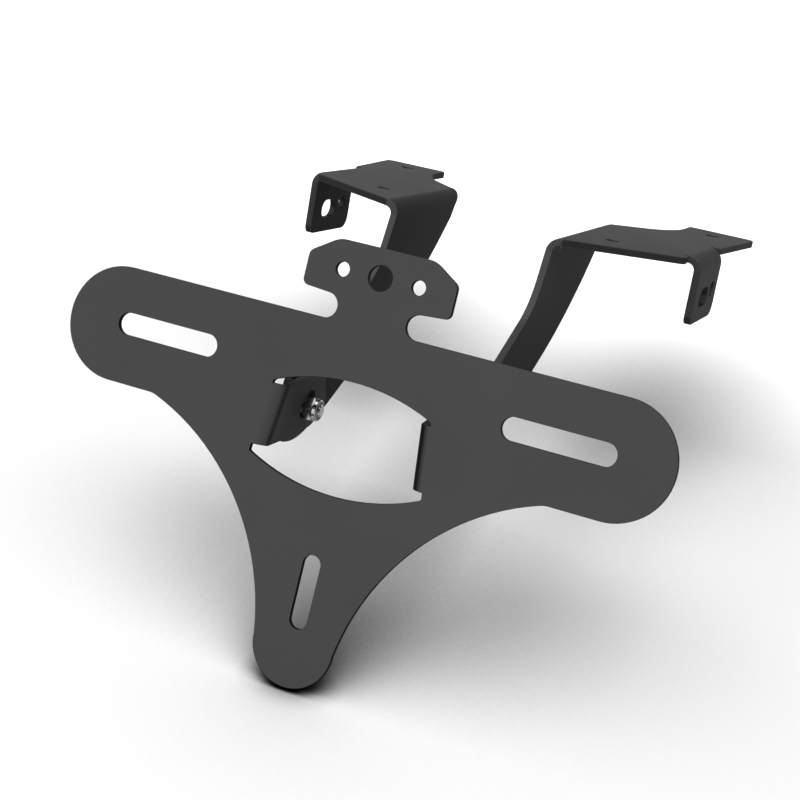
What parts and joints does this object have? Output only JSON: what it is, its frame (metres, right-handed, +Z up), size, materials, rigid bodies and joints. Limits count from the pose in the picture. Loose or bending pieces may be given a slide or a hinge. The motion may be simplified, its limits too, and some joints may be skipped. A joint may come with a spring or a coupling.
{
  "type": "motorbike number plate bracket",
  "caption": "Folded sheet number plate bracket with slotted wings, slotted leg and lamp head, clamped by its rear ears to a pair of sloped hangers.",
  "frame": {"origin": "midpoint between the front fixing holes of the two hangers, on their sloped top faces", "axes": "+X across the plate to the viewer's right, +Y from the number plate toward the motorbike's front, +Z up"},
  "size_m": [0.2406, 0.2818, 0.137],
  "materials": {
    "black_coat_plate": "satin black powder coat on steel sheet",
    "black_coat_hanger": "satin black powder coat on steel sheet",
    "bolt_steel": "bright zinc plated",
    "nut_steel": "bright zinc plated",
    "spacer_steel": "bright zinc plated",
    "nylon": "pale grey nylon ring"
  },
  "bodies": {
    "root": {"plate_bracket": "black_coat_plate", "left_hanger": "black_coat_hanger", "right_hanger": "black_coat_hanger", "left_clamp_bolt": "bolt_steel", "left_clamp_nut": "nut_steel", "left_nut_insert": "nylon", "left_spacer": "spacer_steel", "right_clamp_bolt": "bolt_steel", "right_clamp_nut": "nut_steel", "right_nut_insert": "nylon", "right_spacer": "spacer_steel"}
  },
  "joints": []
}
